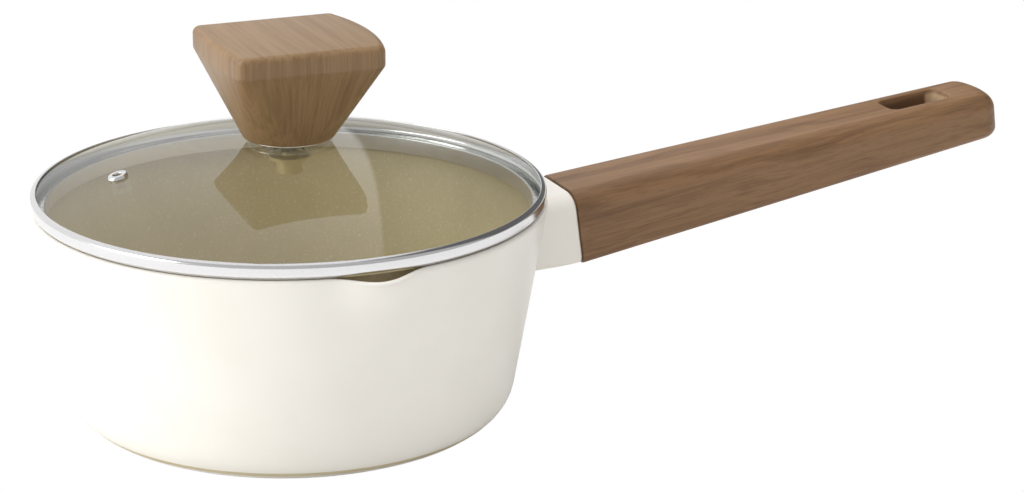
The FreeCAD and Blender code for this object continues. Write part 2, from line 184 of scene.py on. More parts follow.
def latheTurn(name, points, steps):
    # turns a profile of (radius, height) about the upright axis
    path = [(p[0], 0.0, p[1]) for p in points]
    piece = startPoint(name, path[0])
    drawOn(path)
    bpy.ops.mesh.select_all(action="SELECT")
    bpy.ops.mesh.spin(steps=steps, angle=math.tau, center=(0, 0, 0), axis=(0, 0, 1))
    return finishPiece(piece)


def closedProfile(points):
    return points + [points[0]]


def selectOnly(piece):
    deselectAll()
    piece.select_set(True)
    bpy.context.view_layer.objects.active = piece


def applyModifier(piece, kind, **values):
    selectOnly(piece)
    modifier = piece.modifiers.new(kind.lower(), kind)
    for key, value in values.items():
        setattr(modifier, key, value)
    bpy.ops.object.modifier_apply(modifier=modifier.name)


def cutWith(piece, cutter):
    applyModifier(piece, "BOOLEAN", operation="DIFFERENCE", object=cutter, solver="EXACT")
    bpy.data.objects.remove(cutter)


def placePiece(piece, turn, place):
    # turns and moves a finished mesh, then puts the place into the mesh
    selectOnly(piece)
    piece.matrix_world = Matrix.Translation(place) @ turn.to_4x4()
    bpy.ops.object.transform_apply(location=True, rotation=True, scale=True)


class Wire:
    # a node's output that can be used in sums

    def __init__(self, finish, socket):
        self.finish = finish
        self.socket = socket

    def join(self, operation, first, second):
        return self.finish.add("ShaderNodeMath", {"operation": operation}, {0: first, 1: second})

    def __add__(self, other):
        return self.join("ADD", self, other)

    __radd__ = __add__

    def __mul__(self, other):
        return self.join("MULTIPLY", self, other)

    __rmul__ = __mul__

    def __rsub__(self, other):
        return self.join("SUBTRACT", other, self)

    def __pow__(self, other):
        return self.join("POWER", self, other)


class Finish:
    # the nodes of a material, or of the world

    def __init__(self, name, kind="materials"):
        self.owner = getattr(bpy.data, kind).new(name)
        self.owner.use_nodes = True
        self.tree = self.owner.node_tree
        self.tree.nodes.clear()

    def add(self, kind, settings=None, sockets=None, output=0):
        node = self.tree.nodes.new(kind)
        for key, value in (settings or {}).items():
            if key == "stops":
                self.setStops(node.color_ramp, value)
            else:
                setattr(node, key, value)
        for key, value in (sockets or {}).items():
            if isinstance(value, Wire):
                self.tree.links.new(value.socket, node.inputs[key])
            else:
                node.inputs[key].default_value = value
        return None if output is None else Wire(self, node.outputs[output])

    def setStops(self, ramp, stops):
        while len(ramp.elements) > 1:
            ramp.elements.remove(ramp.elements[-1])
        ramp.elements[0].position, ramp.elements[0].color = stops[0]
        for position, colour in stops[1:]:
            ramp.elements.new(position).color = colour

    def place(self):
        return self.add("ShaderNodeTexCoord", output="Object")

    def centred(self, middle, turn=(0, 0, 0)):
        # places measured from a point of the piece, along turned axes
        sockets = {"Vector": self.place(), "Location": middle, "Rotation": turn}
        return self.add("ShaderNodeMapping", {"vector_type": "TEXTURE"}, sockets)

    def part(self, vector, axis):
        return self.add("ShaderNodeSeparateXYZ", {}, {"Vector": vector}, output=axis)

    def vector(self, operation, first, second, output="Vector"):
        settings = {"operation": operation}
        return self.add("ShaderNodeVectorMath", settings, {0: first, 1: second}, output=output)

    def dot(self, vector, direction):
        return self.vector("DOT_PRODUCT", vector, direction, "Value")

    def noise(self, vector, scale, detail=3.0, roughness=0.5, distortion=0.0):
        values = {"Vector": vector, "Scale": scale, "Detail": detail, "Roughness": roughness,
                  "Distortion": distortion}
        return self.add("ShaderNodeTexNoise", {}, values)

    def stretched(self, vector, scale, turn=(0, 0, 0)):
        sockets = {"Vector": vector, "Scale": scale, "Rotation": turn}
        return self.add("ShaderNodeMapping", {}, sockets)

    def grain(self, vector, scale, **values):
        # noise with its own scale along each axis
        return self.noise(self.stretched(vector, scale), 1, **values)

    def ramp(self, factor, stops):
        return self.add("ShaderNodeValToRGB", {"stops": stops}, {"Fac": factor})

    def steps(self, factor, low, high, start=0.0, end=1.0):
        values = {"Value": factor, "From Min": low, "From Max": high,
                  "To Min": start, "To Max": end}
        return self.add("ShaderNodeMapRange", {"clamp": True}, values)

    def spread(self, noise, values):
        # a noise's usual range spread over two values
        return self.steps(noise, noiseLow, noiseHigh, *values)

    def blend(self, factor, first, second):
        sockets = {0: factor, 6: first, 7: second}
        return self.add("ShaderNodeMix", {"data_type": "RGBA"}, sockets, output=2)

    def bump(self, height, strength, distance):
        values = {"Height": height, "Strength": strength, "Distance": distance}
        return self.add("ShaderNodeBump", {}, values)

    def surface(self, values, shader="ShaderNodeBsdfPrincipled"):
        made = self.add(shader, {}, values)
        self.add("ShaderNodeOutputMaterial", {}, {"Surface": made}, output=None)
        return self.owner


def rgb(red, green, blue):
    # screen colour in 0..255 to a linear colour
    def linear(value):
        value = value / 255
        return value / 12.92 if value <= 0.04045 else ((value + 0.055) / 1.055) ** 2.4

    return (linear(red), linear(green), linear(blue), 1.0)


noiseLow, noiseHigh = 0.3, 0.7
plainWhite = (1, 1, 1, 1)

creamValues = {
    "pale": rgb(238, 234, 226),
    "shade": rgb(235, 231, 222),
    "drift": 38,                 # noise scales count per metre
    "peel": 1500,
    "grit": 420,
    "roughness": (0.34, 0.43),
    "bump": (0.10, 0.0002),      # strength, and depth in metres
}


def creamCoating():
    # sprayed ceramic enamel: satin, faintly uneven, very fine orange peel
    values = creamValues
    finish = Finish("creamCoating")
    place = finish.place()
    drift = finish.noise(place, values["drift"], detail=2)
    peel = finish.noise(place, values["peel"], detail=2)
    grit = finish.noise(place, values["grit"])
    return finish.surface({
        "Base Color": finish.ramp(drift, [(0.35, values["shade"]), (0.62, values["pale"])]),
        "Roughness": finish.spread(grit, values["roughness"]),
        "Normal": finish.bump(peel * 0.6 + grit * 0.4, *values["bump"]),
        "IOR": 1.5, "Coat Roughness": 0.16, "Coat Weight": 0.18})


oliveValues = {
    "pale": rgb(190, 177, 145),
    "dark": rgb(184, 171, 139),
    "speck": rgb(212, 201, 172),
    "cloud": 55,
    "grain": 1300,
    "paleSpecks": 0.6,           # how far each kind of speck shows
    "darkSpecks": 0.55,
    "roughness": (0.52, 0.64),
    "bump": (0.12, 0.0003),
    "glow": 0.08,                # painted light: the coating glows a little, standing in for light that finds its way in under the lid
}


def oliveCoating():
    # non-stick ceramic inside: olive grey with fine pale and dark specks
    values = oliveValues
    finish = Finish("oliveCoating")
    place = finish.place()
    cloud = finish.noise(place, values["cloud"])
    grain = finish.noise(place, values["grain"], detail=2)
    colour = finish.ramp(cloud, [(0.3, values["dark"]), (0.6, values["pale"])])
    pale = finish.steps(grain, 0.60, 0.68) * values["paleSpecks"]
    dark = finish.steps(grain, 0.40, 0.33) * values["darkSpecks"]
    colour = finish.blend(pale, colour, values["speck"])
    colour = finish.blend(dark, colour, values["dark"])
    # the emission below is painted light: the olive coating glows a little though it is no lamp
    return finish.surface({
        "Base Color": colour,
        "Roughness": finish.spread(grain, values["roughness"]),
        "Normal": finish.bump(grain, *values["bump"]),
        "IOR": 1.48, "Emission Color": colour, "Emission Strength": values["glow"]})


gripWoodValues = {
    "pale": rgb(139, 106, 75),
    "mid": rgb(120, 89, 61),
    "dark": rgb(100, 72, 48),
    # the grain's dark lines; the same colour is also the painted shade inside the hanging slot
    "line": rgb(82, 57, 39),
    # painted light on the far end wall of the hanging slot
    "paintedLitEnd": rgb(196, 168, 134),
    "sway": (16, 60, 60),        # scales along, across and up from the grip
    "bands": (5, 190, 150),
    "fine": (60, 1500, 1300),
    "fleck": (170, 2300, 2300),
    "swirl": 2.0,
    "fineShare": 0.28,           # how much of the colour follows the fine streaks
    "lines": 0.26,
    # how far the painted shade inside the hanging slot, and the painted light on its far end wall,
    # show
    "slotPaintedShade": 0.62,
    "slotPaintedLight": 0.72,
    "slotSoft": 0.0006,          # how softly the slot's tones begin
    "slotTopGap": 0.0004,        # they start this far under the top
    "slotSideGap": 0.0003,       # and reach this far past its sides
    "roughness": (0.36, 0.52),
    "bump": (0.12, 0.0003),
}


def slotTones(finish, local, colour):
    # painted shade and painted light: the hanging slot is painted darker inside, as shade, and
    # paler at its far end, as light falling on its end wall
    values, wood = gripValues, gripWoodValues
    along, across, up = (finish.part(local, axis) for axis in "XYZ")
    soft, half = wood["slotSoft"], values["slotLength"] / 2
    start, end = values["slotFromPan"] - half, values["slotFromPan"] + half
    litEndFrom = end - values["slotCorner"]
    top = values["heightTip"] / 2 - wood["slotTopGap"]
    side = values["slotWidth"] / 2 + wood["slotSideGap"]
    inside = finish.steps(across, -side - soft, -side) * finish.steps(across, side + soft, side)
    inside = inside * finish.steps(along, start - 2 * soft, start - soft)
    inside = inside * finish.steps(along, end + 4 * soft, end + 3 * soft)
    inside = inside * finish.steps(up, top, top - 2 * soft)
    # painted light on the far end wall, painted shade over the rest of the slot's inside
    paintedLitEnd = finish.steps(along, litEndFrom, litEndFrom + 2 * soft)
    colour = finish.blend(inside * (1 - paintedLitEnd) * wood["slotPaintedShade"], colour, wood["line"])
    return finish.blend(inside * paintedLitEnd * wood["slotPaintedLight"], colour, wood["paintedLitEnd"])


def gripWood():
    # printed wood on a moulded grip: long streaks that swirl a little near the tip
    values = gripWoodValues
    finish = Finish("gripWood")
    local = finish.centred(gripStart, (0, -handleTilt, 0))
    sway = finish.grain(local, values["sway"], detail=1)
    bands = finish.stretched(local, values["bands"])
    pushed = finish.vector("ADD", bands, sway * values["swirl"])
    streak = finish.noise(pushed, 1, detail=5, roughness=0.62)
    fine = finish.grain(local, values["fine"])
    fleck = finish.grain(local, values["fleck"], detail=1)
    tones = [(0.30, values["dark"]), (0.44, values["mid"]),
             (0.55, values["pale"]), (0.72, values["mid"])]
    share = values["fineShare"]
    colour = finish.ramp(streak * (1 - share) + fine * share, tones)
    lines = finish.steps(fleck, 0.60, 0.70) * values["lines"]
    colour = finish.blend(lines, colour, values["line"])
    return finish.surface({
        # the colour carries the slot's painted shade and painted light
        "Base Color": slotTones(finish, local, colour),
        "Roughness": finish.spread(fine, values["roughness"]),
        "Normal": finish.bump(fine * 0.6 + streak * 0.4, *values["bump"]),
        "IOR": 1.5, "Specular IOR Level": 0.32})


knobWoodValues = {
    "pale": rgb(148, 119, 86),
    "mid": rgb(136, 108, 76),
    "dark": rgb(122, 95, 66),
    "upright": (520, 520, 16),
    "across": (420, 15, 300),
    "acrossTurn": 0.12,          # the top's grain runs a little askew
    "pores": (1900, 1900, 120),
    "fineShare": 0.25,           # how much of the colour follows the pores
    "fan": 1.6,                  # how much closer the grain lies at the foot
    "roughness": (0.34, 0.50),
    "bump": (0.12, 0.0003),
}


def knobWood():
    # the same wood look, its grain upright on the sides and across on the top
    values = knobWoodValues
    finish = Finish("knobWood")
    local = finish.centred((0, 0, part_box("lid_knob")[0].z))
    upward = finish.part(finish.add("ShaderNodeNewGeometry", output="Normal"), "Z")
    fan = finish.steps(finish.part(local, "Z"), 0, knobValues["waist"], values["fan"], 1.0)
    fan = finish.add("ShaderNodeCombineXYZ", {}, {"X": fan, "Y": fan, "Z": 1.0})
    fanned = finish.vector("MULTIPLY", local, fan)
    across = finish.stretched(local, values["across"], (0, 0, values["acrossTurn"]))
    onTop = finish.steps(upward, 0.82, 0.9)
    sides = finish.grain(fanned, values["upright"], detail=4, roughness=0.6, distortion=0.25)
    top = finish.noise(across, 1, detail=4, roughness=0.6, distortion=0.35)
    streak = sides * (1 - onTop) + top * onTop
    fine = finish.grain(fanned, values["pores"], detail=2)
    tones = [(0.30, values["dark"]), (0.46, values["mid"]),
             (0.58, values["pale"]), (0.75, values["mid"])]
    share = values["fineShare"]
    return finish.surface({
        "Base Color": finish.ramp(streak * (1 - share) + fine * share, tones),
        "Roughness": finish.spread(fine, values["roughness"]),
        "Normal": finish.bump(streak * 0.5 + fine * 0.5, *values["bump"]),
        "IOR": 1.5, "Specular IOR Level": 0.36})


steelColour = rgb(226, 225, 226)

metalValues = {
    # the lines' scale is even where the metal has no brushed direction
    "polishedSteel": {"colour": steelColour, "roughness": (0.13, 0.20), "lines": (900, 900, 4200),
                      "bump": 0.02},
    "satinSteel": {"colour": rgb(232, 231, 236), "roughness": (0.34, 0.46),
                   "lines": (300, 300, 2600), "bump": 0.06},
    "castAluminium": {"colour": rgb(186, 187, 188), "roughness": (0.45, 0.6),
                      "lines": (700, 700, 700), "bump": 0.3},
    # yellow-passivated zinc plating, with a painted glow: the fasteners give off a little light
    # though they are no lamp
    "fastenerSteel": {"colour": rgb(200, 186, 146), "roughness": (0.42, 0.55),
                      "lines": (1200, 1200, 1200), "bump": 0.1, "metallic": 0.7, "glow": 0.12},
    "insertBrass": {"colour": rgb(202, 168, 92), "roughness": (0.25, 0.38),
                    "lines": (800, 800, 2600), "bump": 0.15},
}
smudgeScale = 60
lineDark = 0.72                  # how dark the metal's fine lines are
lineShare = 0.25                 # and how far they show


def metal(name):
    values = metalValues[name]
    finish = Finish(name)
    place = finish.place()
    lines = finish.grain(place, values["lines"])
    smudge = finish.noise(place, smudgeScale)
    darker = (*[c * lineDark for c in values["colour"][:3]], 1)
    shade = finish.blend(finish.spread(lines, (0, 1)) * lineShare, values["colour"], darker)
    # a glow, where a metal has one, is painted light: the emission makes it shine though it is no
    # lamp
    return finish.surface({
        "Base Color": shade,
        "Roughness": finish.steps(lines * 0.5 + smudge * 0.5, 0.35, 0.65, *values["roughness"]),
        "Normal": finish.bump(lines, values["bump"], 0.0002),
        "Metallic": values.get("metallic", 1.0),
        "Emission Color": shade, "Emission Strength": values.get("glow", 0.0)})


turnedValues = {
    "pale": steelColour,
    "dark": rgb(158, 157, 155),
    "rings": 5200,
    "roughness": (0.24, 0.40),
    "bump": (0.15, 0.0002),
}


def turnedSteel():
    # the disc in the base is turned, so its lines go round its middle
    values = turnedValues
    finish = Finish("brushedSteel")
    place = finish.place()
    x, y = finish.part(place, "X"), finish.part(place, "Y")
    radius = (x * x + y * y) ** 0.5
    outwards = finish.add("ShaderNodeCombineXYZ", {}, {"X": radius * values["rings"]})
    rings = finish.noise(outwards, 1)
    tones = [(noiseLow, values["dark"]), (noiseHigh, values["pale"])]
    return finish.surface({
        "Base Color": finish.ramp(rings, tones),
        "Metallic": 1.0,
        "Roughness": finish.spread(rings, values["roughness"]),
        "Normal": finish.bump(rings, *values["bump"])})


siliconeValues = {
    "pale": rgb(226, 224, 218),
    "dark": rgb(205, 203, 197),
    "cloud": 240,
    "dust": 2200,
    "roughness": (0.35, 0.50),
    "alpha": (0.03, 0.06),
    "bump": (0.10, 0.0002),
}


def sealSilicone():
    # milky translucent rubber
    values = siliconeValues
    finish = Finish("sealSilicone")
    place = finish.place()
    cloud = finish.noise(place, values["cloud"], detail=2)
    dust = finish.noise(place, values["dust"], detail=2)
    tones = [(noiseLow, values["dark"]), (noiseHigh, values["pale"])]
    return finish.surface({
        "Base Color": finish.ramp(cloud, tones),
        "Roughness": finish.spread(dust, values["roughness"]),
        "Alpha": finish.spread(cloud, values["alpha"]),
        "Normal": finish.bump(dust, *values["bump"])})


glassValues = {
    "tint": rgb(251, 252, 250),
    "wave": 22,
    "bump": (0.02, 0.002),
    "faceOn": 0.035,             # how much it mirrors when seen face on
    "slanting": 0.38,            # added at a slant
    "edgeOn": 0.45,              # and added again at a grazing angle
}


def clearGlass():
    # thin tempered glass: see-through, its outer face mirrors more the flatter it is seen
    values = glassValues
    finish = Finish("clearGlass")
    bump = finish.bump(finish.noise(finish.place(), values["wave"], detail=1), *values["bump"])
    weight = {"Blend": 0.5, "Normal": bump}
    facing = finish.add("ShaderNodeLayerWeight", {}, weight, output="Facing")
    outside = 1 - finish.add("ShaderNodeNewGeometry", output="Backfacing")
    mirror = values["faceOn"] + values["slanting"] * facing ** 2.0
    mirror = mirror + values["edgeOn"] * facing ** 10.0
    clear = finish.add("ShaderNodeBsdfTransparent", {}, {"Color": values["tint"]})
    gloss = finish.add("ShaderNodeBsdfGlossy", {}, {"Roughness": 0.02, "Normal": bump})
    return finish.surface({0: mirror * outside, 1: clear, 2: gloss}, "ShaderNodeMixShader")


panValues = {
    "baseRadius": 0.0710,        # where the wall line meets the table
    "rimRadius": 0.0836,
    "wall": 0.00264,
    "floor": 0.0040,
    "baseCorner": 0.0129,
    "rimRound": 0.00122,
    "recess": 0.0012,            # for the steel disc in the base
    "lipReach": 0.0034,          # how far a pouring lip leans out
    "lipDip": 0.0014,            # how far its rim drops
    "lipAngle": 11.5,            # degrees from its middle to where it fades out
    "lipFade": 0.017,            # how far down the wall it fades
    "dipFade": 1.5,              # the drop fades this much sooner
    "oliveFrom": 0.72,           # share of the wall, or of the floor, that stays cream
    "discCorner": 0.0004,
    "longestStep": 0.004,        # of the profile
    "turns": 288,
}


def wallRadius(height):
    grow = panValues["rimRadius"] - panValues["baseRadius"]
    return panValues["baseRadius"] + grow * height / rimHeight


def panProfile():
    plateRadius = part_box("induction_base_plate")[1].x
    wall, floor, recess = panValues["wall"], panValues["floor"], panValues["recess"]
    corner = panValues["baseCorner"]
    points = [(0, recess), (plateRadius, recess), (plateRadius, 0), (panValues["baseRadius"], 0),
              (panValues["rimRadius"], rimHeight), (wallRadius(rimHeight) - wall, rimHeight),
              (wallRadius(floor) - wall, floor), (0, floor)]
    rim = panValues["rimRound"]
    radii = [0, 0, panValues["discCorner"], corner, rim, rim, corner - wall, 0]
    return splitLong(roundPath(points, radii, 8), panValues["longestStep"])


def bell(value):
    # 1 in the middle, fading smoothly to 0 at 1
    return 0.5 + 0.5 * math.cos(math.pi * min(1.0, abs(value)))


def shapeLip(pan, side):
    # pulls the rim outwards and down at one pouring lip
    lean = pan.vertex_groups.new(name="lean")
    drop = pan.vertex_groups.new(name="drop")
    for vertex in pan.data.vertices:
        x, y, z = vertex.co
        away = math.degrees(math.atan2(x, side * y)) / panValues["lipAngle"]
        if abs(away) < 1 and z > rimHeight - panValues["lipFade"]:
            low = (rimHeight - z) / panValues["lipFade"]
            lean.add([vertex.index], bell(away) * bell(low), "REPLACE")
            drop.add([vertex.index], bell(away) * bell(low * panValues["dipFade"]), "REPLACE")
    reach, dip = side * panValues["lipReach"], -panValues["lipDip"]
    applyModifier(pan, "DISPLACE", direction="Y", strength=reach, mid_level=0, vertex_group="lean")
    applyModifier(pan, "DISPLACE", direction="Z", strength=dip, mid_level=0, vertex_group="drop")
    pan.vertex_groups.clear()


def makePan():
    pan = latheTurn("panShell", panProfile(), panValues["turns"])
    pan.data.materials.append(creamCoating())
    pan.data.materials.append(oliveCoating())
    # the olive starts just inside the rounded rim
    for face in pan.data.polygons:
        x, y, z = face.center
        inside = math.hypot(x, y) < wallRadius(z) - panValues["wall"] * panValues["oliveFrom"]
        face.material_index = int(inside and z > panValues["floor"] * panValues["oliveFrom"])
    shapeLip(pan, -1)
    shapeLip(pan, 1)
    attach(pan, "pan")
    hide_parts("pan_body")


basePlateValues = {
    "grooves": 11,
    "firstGroove": 0.009,
    "pitch": 0.0044,
    "grooveWidth": 0.0014,
    "grooveDepth": 0.0003,
    "edgeRound": 0.0003,
    "turns": 96,
}


def makeBasePlate():
    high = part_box("induction_base_plate")[1]
    values = basePlateValues
    points = [(0, high.z), (high.x, high.z), (high.x, values["edgeRound"]),
              (high.x - values["edgeRound"], 0)]
    for i in reversed(range(values["grooves"])):
        inner = values["firstGroove"] + i * values["pitch"]
        outer = inner + values["grooveWidth"]
        deep = values["grooveDepth"]
        points += [(outer, 0), (outer - deep, deep), (inner + deep, deep), (inner, 0)]
    points += [(0, 0)]
    plate = latheTurn("baseDisc", points, values["turns"])
    plate.data.materials.append(turnedSteel())
    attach(plate, "pan")
    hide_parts("induction_base_plate")


gripValues = {
    "length": 0.1665,
    "widthPan": 0.0297,
    "widthTip": 0.0273,
    "heightPan": 0.0254,
    "heightTip": 0.0160,
    "topRound": 0.0062,
    "underRound": 0.0032,
    "tipArc": 0.0350,            # the end's bow, seen from above
    "tipCorner": 0.0075,
    "endRound": 0.0004,
    "slotFromPan": 0.13785,      # to the slot's middle
    "slotLength": 0.0225,
    "slotWidth": 0.0126,
    "slotCorner": 0.0032,
    "slotRamp": 0.0012,          # the slot's far end leans out towards the tip
    "rampDepth": 0.0035,
    "slotEdge": 0.0007,
    "boreRadius": 0.0049,
    "boreStart": 0.0240,
    "boreTurns": 48,
}
gripStart = Vector(slotMount["pos_m"]) - alongHandle * gripValues["slotFromPan"]


def arcPoints(centre, radius, start, end, steps):
    turns = [start + (end - start) * i / steps for i in range(steps + 1)]
    return [(centre[0] + radius * math.cos(a), centre[1] + radius * math.sin(a)) for a in turns]


def gripOutline():
    # seen from above: square at the pan, bowed with round corners at the tip
    values = gripValues
    half, corner, bow = values["widthTip"] / 2, values["tipCorner"], values["tipArc"]
    across = half - corner
    bowMiddle = values["length"] - bow
    cornerMiddle = bowMiddle + math.sqrt((bow - corner) ** 2 - across ** 2)
    lean = math.atan2(across, cornerMiddle - bowMiddle)
    quarter = math.pi / 2
    outline = [(0, -values["widthPan"] / 2)]
    outline += arcPoints((cornerMiddle, -across), corner, -quarter, -lean, 10)
    outline += arcPoints((bowMiddle, 0), bow, -lean, lean, 12)[1:]
    outline += arcPoints((cornerMiddle, across), corner, lean, quarter, 10)[1:]
    outline += [(0, values["widthPan"] / 2)]
    return outline


def flatLoop(points, height):
    return [(x, y, height) for x, y in points]


def makeSlotCutter():
    values = gripValues
    half, start = values["slotWidth"] / 2, values["slotFromPan"] - values["slotLength"] / 2
    end = start + values["slotLength"]
    corners = [(start, -half), (end, -half), (end, half), (start, half)]
    outline = [tuple(p) for p in roundPath(corners, [values["slotCorner"]] * 4, 6)]
    depth = values["heightPan"]
    rampFoot = values["heightTip"] / 2 - values["rampDepth"]
    cutter = startPoint("slotCutter", (*outline[0], -depth))
    drawOn(flatLoop(outline, -depth))
    closeLoop()
    for rise in (depth + rampFoot, 2 * values["rampDepth"]):
        bpy.ops.mesh.extrude_region_move(TRANSFORM_OT_translate={"value": (0, 0, rise)})
    top = rampFoot + 2 * values["rampDepth"]
    endStart = end - values["slotCorner"]
    selectWhere(cutter, "VERT", lambda v: v.z > top - hair and v.x > endStart - hair)
    bpy.ops.transform.translate(value=(2 * values["slotRamp"], 0, 0))
    return finishPiece(cutter)


def makeGrip():
    values = gripValues
    outline = gripOutline()
    depth = values["heightPan"]
    grip = startPoint("gripBody", (*outline[0], -depth))
    drawOn(flatLoop(outline, -depth))
    closeLoop()
    bpy.ops.mesh.extrude_region_move(TRANSFORM_OT_translate={"value": (0, 0, 2 * depth)})
    taper = (values["heightPan"] - values["heightTip"]) / 2 / values["length"]
    for side in (1, -1):
        bpy.ops.mesh.select_all(action="SELECT")
        bpy.ops.mesh.bisect(plane_co=(0, 0, side * values["heightPan"] / 2),
                            plane_no=(taper, 0, side), use_fill=True, clear_outer=True)

    def onFace(point, side):
        level = values["heightPan"] / 2 - taper * point.x
        return abs(side * point.z - level) < hair

    for side, radius in ((1, values["topRound"]), (-1, values["underRound"])):
        selectWhere(grip, "EDGE", lambda a, b: (onFace(a, side) and onFace(b, side)
                                                and a.x + b.x > hair))
        bpy.ops.mesh.bevel(offset=radius, segments=10, affect="EDGES", clamp_overlap=False)
    selectWhere(grip, "EDGE", lambda a, b: abs(a.x) + abs(b.x) < hair)
    bpy.ops.mesh.bevel(offset=values["endRound"], segments=2, affect="EDGES")
    finishPiece(grip)
    cutWith(grip, makeSlotCutter())
    bpy.ops.mesh.primitive_cylinder_add(vertices=values["boreTurns"],
                                        radius=values["boreRadius"], depth=1)
    bore = bpy.context.object
    length = values["slotFromPan"] - values["boreStart"]
    bore.matrix_world = (Matrix.Translation((values["boreStart"] + length / 2, 0, 0))
                         @ Matrix.Rotation(math.pi / 2, 4, "Y")
                         @ Matrix.Diagonal((1, 1, length, 1)))
    cutWith(grip, bore)
    softenSlot(grip, onFace)
    placePiece(grip, handleTurn, gripStart)
    grip.data.materials.append(gripWood())
    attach(grip, "pan")
    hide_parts("handle_grip")


def softenSlot(grip, onFace):
    # rounds the slot's edges on the top and under faces
    values = gripValues
    reach = values["slotLength"] / 2 + values["slotRamp"] * 2
    half = values["slotWidth"] / 2 + hair

    def onEdge(point, side):
        onSlot = abs(point.x - values["slotFromPan"]) < reach and abs(point.y) < half
        return onSlot and onFace(point, side)

    selectOnly(grip)
    bpy.ops.object.mode_set(mode="EDIT")
    for side in (1, -1):
        selectWhere(grip, "EDGE", lambda a, b: onEdge(a, side) and onEdge(b, side))
        bpy.ops.mesh.bevel(offset=values["slotEdge"], segments=4, affect="EDGES")
    finishPiece(grip, outward=False)


guardValues = {
    "inset": 0.0005,             # smaller than the grip all round
    "reach": 0.0220,             # from the grip into the pan wall
    "wallHeight": 0.0240,
    "wallMiddle": 0.00130,       # height of its middle there, square to the handle
    "groove": 0.0007,
    "grooveDepth": 0.0011,
    "sink": 0.0002,              # how far its end goes into the pan wall
    "cuts": 6,
}


def sectionLoop(x, width, height, top, under, middle):
    w, h = width / 2, height / 2
    corners = [(-w, -h), (w, -h), (w, h), (-w, h)]
    loop = roundPath(corners, [under, under, top, top], 10)
    return [(x, p[0], p[1] + middle) for p in loop]


def makeGuard():
    values, inset = guardValues, guardValues["inset"]
    width = gripValues["widthPan"] - 2 * inset
    top, under = gripValues["topRound"] - inset, gripValues["underRound"] - inset
    farHeight = gripValues["heightPan"] - 2 * inset
    farX, nearX = -values["groove"], -values["reach"]
    far = sectionLoop(farX, width, farHeight, top, under, 0)
    near = sectionLoop(nearX, width, values["wallHeight"], top, under, values["wallMiddle"])
    guard = startPoint("guardSleeve", near[0])
    drawOn(near + near[:1])
    addPoint(far[0])
    drawOn(far + far[:1])
    bpy.ops.mesh.select_all(action="SELECT")
    bpy.ops.mesh.remove_doubles(threshold=weldGap)
    bpy.ops.mesh.bridge_edge_loops(number_cuts=values["cuts"])
    selectWhere(guard, "EDGE", lambda a, b: max(a.x, b.x) < nearX + hair)
    bpy.ops.mesh.edge_face_add()
    selectWhere(guard, "EDGE", lambda a, b: min(a.x, b.x) > farX - hair)
    bpy.ops.mesh.edge_face_add()
    bpy.ops.mesh.inset(thickness=values["grooveDepth"])
    bpy.ops.mesh.extrude_region_move(TRANSFORM_OT_translate={"value": (values["groove"], 0, 0)})
    finishPiece(guard)
    placePiece(guard, handleTurn, gripStart)
    lowRadius, highRadius = (wallRadius(z) - values["sink"] for z in (0, rimHeight))
    wall = [(0, 0), (lowRadius, 0), (highRadius, rimHeight), (0, rimHeight)]
    cutWith(guard, latheTurn("wallCutter", wall, panValues["turns"]))
    finishPiece(guard)
    guard.data.materials.append(creamCoating())
    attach(guard, "pan")
    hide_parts("flame_guard")


lidValues = {
    "bandRadius": 0.0830,
    "sheet": 0.0005,
    "lipWidth": 0.0014,          # steel turned in over the glass
    "shoulder": 0.0042,          # from the rim up to the band's shoulder
    "tuck": 0.0013,
    "skirtDepth": 0.0050,
    "skirtRadius": 0.07876,
    "glassGap": 0.00015,
    "crownThickness": 0.0040,
    "hole": 0.00495,             # for the knob's screw
    "domeSteps": 40,
    "domeTurns": 192,
    "seam": 0.00003,             # between the glass and the turned-in steel
    # rounding of the band's corners, from its inner lip round to the shoulder
    "rounds": [0.0001, 0.0002, 0.0012, 0.0016, 0.0008, 0.0002, 0.0001, 0.0001, 0.0006, 0.0004,
               0.0008, 0],
    "turns": 256,
}
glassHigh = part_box("lid_glass")[1].z
shoulderHeight = rimHeight + lidValues["shoulder"]
flange = rimHeight + lidValues["sheet"]      # the steel that the glass lies on
glassRadius = lidValues["bandRadius"] - lidValues["sheet"] - lidValues["glassGap"]


def domeHeight(radius, edge, edgeHeight, crown):
    rise = crown - edgeHeight
    sphere = (edge ** 2 + rise ** 2) / (2 * rise)
    return crown - sphere + math.sqrt(sphere ** 2 - radius ** 2)


def glassTop(radius):
    return domeHeight(radius, glassRadius, shoulderHeight, glassHigh)


def glassUnder(radius):
    crown = glassHigh - lidValues["crownThickness"]
    return domeHeight(radius, lidValues["skirtRadius"], flange, crown)


def makeGlass():
    hole, tuck = lidValues["hole"], lidValues["tuck"]
    shares = [i / lidValues["domeSteps"] for i in range(lidValues["domeSteps"] + 1)]
    topRadii = [hole + (glassRadius - hole) * share for share in shares]
    underRadii = [lidValues["skirtRadius"] * (1 - share) + hole * share for share in shares]
    points = [(r, glassTop(r)) for r in topRadii]
    points += [(glassRadius, flange + tuck), (glassRadius - tuck, flange)]
    points += [(r, glassUnder(r)) for r in underRadii]
    glass = latheTurn("domeGlass", closedProfile(points), lidValues["domeTurns"])
    glass.data.materials.append(clearGlass())
    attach(glass, "lid")
    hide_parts("lid_glass")


